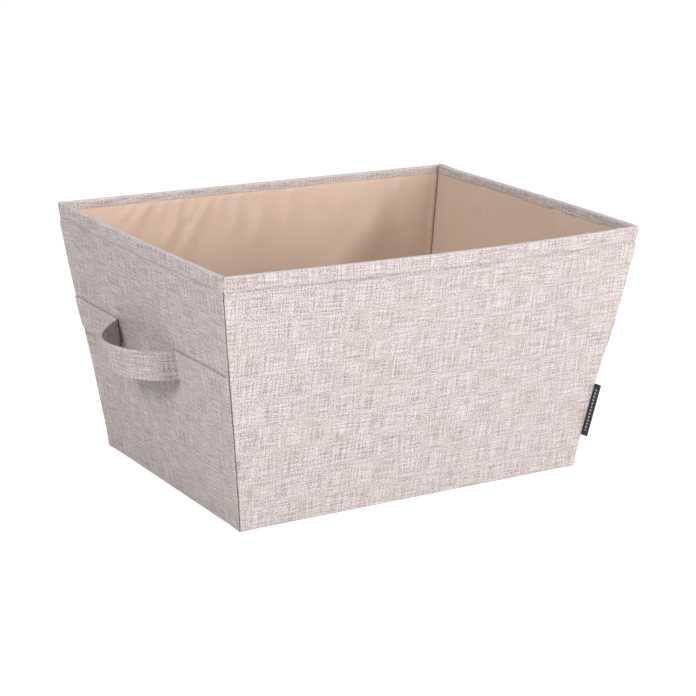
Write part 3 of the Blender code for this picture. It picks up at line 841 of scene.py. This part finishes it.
# ----------------------------------------------------------------------
# Handle bands: on each short wall a flat folded linen strap, caught in the corner seams, sewn down at
# both ends and left free between them as a hand loop that stands out from the wall.
# ----------------------------------------------------------------------
BAND_LOW, BAND_TOP, BAND_THICKNESS, BAND_GAP = 0.1106, 0.1362, 0.0014, 0.0003
BAND_MIDDLE = (BAND_LOW + BAND_TOP) / 2
LOOP_FRONT, LOOP_REAR, LOOP_PEAK, LOOP_BOW = -0.0520, 0.0545, -0.0045, 0.0375
FRONT_BEND, REAR_BEND = 0.0016, 0.0060
STAND_OFF = BAND_GAP + BAND_THICKNESS / 2
STRAP_STITCH, STRAP_STITCH_SINK, STRAP_STITCH_START = 0.0021, 0.00030, 0.004
FRONT_BLEND, REAR_BLEND = (-0.0008, 0.022), (0.0025, -0.024)  # two lengths at the front and rear ends of the loop
STRAP_PINCH, STRAP_SINK = 0.0022, 0.0009  # the end thins over this length and sinks this deep into the seam
STRAP_CUT = 7.0  # its place along the cloth


def strap_line(front):
    """The strap's middle line in plan as (along towards the back, stand-off), from a corner to the
    loop's peak.

    It runs flat on the wall, turns out through an arc and follows a quarter ellipse in front, or a
    quarter wave of a cosine behind."""
    half = float(half_width(BAND_MIDDLE))
    if front:
        reach = LOOP_PEAK - LOOP_FRONT
        flat = np.linspace(-half + 0.0012, LOOP_FRONT - FRONT_BEND, 40)
        turn = np.radians(np.linspace(0, 90, 8))[1:-1]
        out = STAND_OFF + FRONT_BEND * (1 - np.cos(turn))
        arc = np.stack([LOOP_FRONT - FRONT_BEND + FRONT_BEND * np.sin(turn), out], axis=1)
        sweep = np.linspace(np.arcsin(FRONT_BEND / LOOP_BOW), np.pi / 2, 60)
        loop = np.stack([LOOP_PEAK - reach * np.cos(sweep), STAND_OFF + LOOP_BOW * np.sin(sweep)], axis=1)
        return np.concatenate([np.stack([flat, flat * 0 + STAND_OFF], axis=1), arc, loop])
    reach = LOOP_REAR - LOOP_PEAK
    slope = np.arctan(LOOP_BOW * np.pi / 2 / reach)
    tangent = REAR_BEND * np.tan(slope / 2)
    flat = np.linspace(half - 0.0012, LOOP_REAR + tangent, 40)
    turn = np.linspace(0, slope, 8)[1:-1]
    out = STAND_OFF + REAR_BEND * (1 - np.cos(turn))
    arc = np.stack([LOOP_REAR + tangent - REAR_BEND * np.sin(turn), out], axis=1)
    part = np.linspace(1 - tangent * np.cos(slope) / reach, 0, 60)
    loop = np.stack([LOOP_PEAK + reach * part, STAND_OFF + LOOP_BOW * np.cos(np.pi / 2 * part)], axis=1)
    return np.concatenate([np.stack([flat, flat * 0 + STAND_OFF], axis=1), arc, loop])


def strap_section():
    """The strap's section as (share of its width, stand-off from its middle): a flat oblong with
    rounded, slightly fuller folded edges and a shallow line of stitching inside each."""
    half = BAND_THICKNESS / 2
    width = BAND_TOP - BAND_LOW
    low_edge, flat, top_edge = np.linspace(0, 0.16, 9), np.linspace(0.16, 0.84, 9), np.linspace(0.84, 1, 9)
    across = np.concatenate([low_edge[1:], flat[1:-1], top_edge[:-1]])
    edge = np.minimum(across, 1 - across) * width
    full = half * np.sqrt(np.clip(1 - (1 - np.clip(edge / half, 0, 1)) ** 2, 0, 1))
    full = full - 0.00022 * np.exp(-(((edge - STRAP_STITCH) / 0.00035) ** 2))
    full = full - 0.00010 * smooth_step(edge, 0.0020, 0.0032)
    share = np.concatenate([[0.0], across, [1.0], across[::-1]])
    stand = np.concatenate([[0.0], full, [0.0], -full[::-1]])
    return share, stand


share, stand = strap_section()
strap_outline = np.stack([share * (BAND_TOP - BAND_LOW), stand], axis=1)
wrap_length = running_length(np.concatenate([strap_outline, strap_outline[:1]]))
for wall, sign in (("left", -1), ("right", 1)):
    for front in (True, False):
        line = strap_line(front)
        step = np.gradient(line, axis=0)
        step = step / np.linalg.norm(step, axis=1, keepdims=True)
        normal = np.stack([-step[:, 1], step[:, 0]], axis=1)
        if not front:
            normal = -normal
        length = running_length(line)
        thin = 0.25 + 0.75 * np.sqrt(np.clip(length / STRAP_PINCH, 0, 1))
        sink = STRAP_SINK * (1 - np.clip(length / STRAP_PINCH, 0, 1)) ** 2
        away = line[:, None, :] + normal[:, None, :] * (stand[None, :] * thin[:, None])[..., None]
        away[..., 1] -= sink[:, None]
        z = BAND_LOW + share[None, :] * (BAND_TOP - BAND_LOW)
        z = np.broadcast_to(z, away.shape[:2])
        lean = np.sign(away[..., 0]) * (z - BAND_MIDDLE) * HALF_WIDTH_SLOPE
        along = away[..., 0] + lean * (1 - smooth_step(length, 0.0, 0.03))[:, None]
        full = corner_full(wall, along, z)
        points = on_wall(wall, (along + np.sign(along) * full) * sign, -away[..., 1] - full, z)
        places = on_grid(length[:, None] + STRAP_CUT + sign + front * 0.4, wrap_length)
        half_name = f"{wall}_strap_{'front' if front else 'rear'}"
        if (sign > 0) == front:
            points, places = np.roll(points[:, ::-1], 1, axis=1), places[:, ::-1]
        strap = grid_object(half_name, points, places, closed=True, capped=(0, -1))
        strap.data.materials.append(linen)
        ends = ("rear", LOOP_REAR, REAR_BLEND), ("front", LOOP_FRONT, FRONT_BLEND)
        band, loop_end, bend = ends[front]
        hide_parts(f"{wall}_band_{band}", f"{wall}_handle_loop")
        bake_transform(strap)
        rows = []
        for level in (BAND_LOW + STRAP_STITCH, BAND_TOP - STRAP_STITCH):
            outer = line + normal * (BAND_THICKNESS / 2 - STRAP_STITCH_SINK)
            beyond = line + normal * BAND_THICKNESS
            keep = length > STRAP_STITCH_START
            paths = []
            for path in (outer, beyond):
                full = corner_full(wall, path[:, 0], level)
                beside = (path[:, 0] + np.sign(path[:, 0]) * full) * sign
                paths.append(on_wall(wall, beside, -path[:, 1] - full, level)[keep])
            rows.append((paths[0], paths[1] - paths[0]))
        seam = stitch_row(f"{half_name}_stitches", rows)
        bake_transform(seam)

# ----------------------------------------------------------------------
# Base insert: a loose card wrapped in lining cloth whose edges are turned under and glued, with mitred
# corners. It lies on the floor lining and lifts out.
# ----------------------------------------------------------------------
wrap_low, wrap_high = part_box("insert_cover")
WRAP_EDGE, WRAP_CORNER, TURN_UNDER, WRAP_THICKNESS = 0.0012, 0.0025, 0.022, 0.0005
MITRE_TUCK, WRAP_RIPPLE, WRAP_ALLOWANCE = 0.0006, 0.00008, 0.050
WRAP_CORNERS = np.array([(-1, -1), (1, -1), (1, 1), (-1, 1)])
half_x, half_y = wrap_high.x, wrap_high.y
quarter = np.radians(np.linspace(0, 90, 7))
stops = np.concatenate([np.linspace(0.02, 1, 24) * (half_y - WRAP_CORNER) - half_y, [-WRAP_EDGE]])
stops = np.unique(stops[stops <= -WRAP_EDGE])
over, under = quarter[1:], quarter[:-1]
turned = -WRAP_EDGE - np.linspace(0, TURN_UNDER - WRAP_EDGE, 9)
out = [stops, -WRAP_EDGE + WRAP_EDGE * np.sin(over), -WRAP_EDGE + WRAP_EDGE * np.cos(under), turned]
out = np.concatenate(out)
deep = wrap_high.z - wrap_low.z
drop = [stops * 0, WRAP_EDGE * (1 - np.cos(over)), deep - WRAP_EDGE * (1 - np.sin(under)), turned * 0 + deep]
drop = np.concatenate(drop)
length = running_length(np.stack([out, drop], axis=1)) + out[0]
sides = []
for number, steps in enumerate((40, 30, 40, 30)):
    part = np.linspace(0, 1, steps + 1)[:-1, None]
    sides.append(WRAP_CORNERS[number] * (1 - part) + WRAP_CORNERS[(number + 1) % 4] * part)
ring = np.concatenate(sides)
edge_x, edge_y = ring[:, 0], ring[:, 1]
x = edge_x * (half_x + out[:, None])
y = edge_y * (half_y + out[:, None])
corner = np.minimum(np.abs(edge_x), np.abs(edge_y)) > 0.999
tuck = MITRE_TUCK * corner * (drop[:, None] > 0.0002)
x, y = x - np.sign(edge_x) * tuck, y - np.sign(edge_y) * tuck
z = wrap_high.z - drop[:, None] - WRAP_RIPPLE * (np.sin(x * 55) * np.sin(y * 47) + 1) * (drop[:, None] == 0)
points = on_grid(x, y, z)
flat_x, flat_y = edge_x * (half_x + length[:, None]), edge_y * (half_y + length[:, None])
places = np.stack([flat_x, flat_y], axis=-1)
places = np.concatenate([places, places[:, :1]], axis=1)
insert = grid_object("insert_wrap", points[::-1], places[::-1], closed=True, capped=(-1,))
insert.data.materials.append(lining_cloth)
thicken(insert, WRAP_THICKNESS)
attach(insert, "base_insert")
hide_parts("insert_cover")

# ----------------------------------------------------------------------
# Side label: a black ribbon folded double and caught in the front right corner seam, so that it stands
# forwards. Pale woven dashes run up both of its faces.
# ----------------------------------------------------------------------
LABEL_LOW, LABEL_TOP, LABEL_WIDTH, LABEL_ANGLE = 0.0300, 0.0770, 0.0070, np.radians(-85.0)
LABEL_ROOT, LABEL_BEND, RIBBON_THICKNESS = 0.0003, 0.0026, 0.00022
PLY_SPACE, PLY_SPREAD = 0.00018, 0.0003
DASH_PITCH, DASH_SHARE, DASH_HALF_WIDTH, DASHES_HALF = 0.0031, 0.26, 0.0007, 0.0188
ribbon, tree = new_material("black_ribbon")
place = make_node(tree, "ShaderNodeUVMap", uv_map="Cloth")[0]
parts = make_node(tree, "ShaderNodeSeparateXYZ", {0: place})
rib = calc(tree, "SINE", calc(tree, "MULTIPLY", parts[1], 9000.0))


def within(value, centre, reach):
    """1 where a shader value is nearer to a centre than a reach, else 0."""
    off = calc(tree, "ABSOLUTE", calc(tree, "SUBTRACT", value, centre))
    return calc(tree, "LESS_THAN", off, reach)


dash = within(calc(tree, "FRACT", calc(tree, "DIVIDE", parts[1], DASH_PITCH)), 0.5, DASH_SHARE)
line = within(calc(tree, "ABSOLUTE", parts[0]), LABEL_WIDTH / 2, DASH_HALF_WIDTH)
ends = within(parts[1], (LABEL_TOP - LABEL_LOW) / 2, DASHES_HALF)
mark = calc(tree, "MULTIPLY", calc(tree, "MULTIPLY", dash, line), ends)
colour = mix_colour(tree, mark, (0.018, 0.018, 0.020, 1), (0.50, 0.49, 0.49, 1))
normal = make_node(tree, "ShaderNodeBump", {"Height": rib, "Strength": 0.3, "Distance": 0.0001})[0]
finish_shader(tree, colour, normal, {"Roughness": 0.55, "Sheen Weight": 0.1})
reach = np.linspace(0, LABEL_WIDTH - PLY_SPACE, 8)
bend = np.radians(np.linspace(90, -90, 7))[1:-1]
out = np.concatenate([reach, LABEL_WIDTH - PLY_SPACE + PLY_SPACE * np.cos(bend), reach[::-1]])
side = np.concatenate([reach * 0 + PLY_SPACE, PLY_SPACE * np.sin(bend), reach * 0 - PLY_SPACE])
side = side + PLY_SPREAD * (out / LABEL_WIDTH) ** 2
cloth = running_length(np.stack([out, side], axis=1))
cloth = cloth - cloth[-1] / 2
z = np.linspace(LABEL_LOW, LABEL_TOP, 21)[:, None]
ahead = np.cos(LABEL_ANGLE), np.sin(LABEL_ANGLE)
across = -np.sin(LABEL_ANGLE), np.cos(LABEL_ANGLE)
x = half_length(z) - LABEL_ROOT + ahead[0] * out + across[0] * side
y = -half_width(z) + LABEL_ROOT + ahead[1] * out + across[1] * side
points = on_grid(x, y, z)
places = on_grid(cloth, z - LABEL_LOW)
label = grid_object("ribbon_label", points, places)
label.data.materials.append(ribbon)
thicken(label, RIBBON_THICKNESS)
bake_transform(label)
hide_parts("side_label")
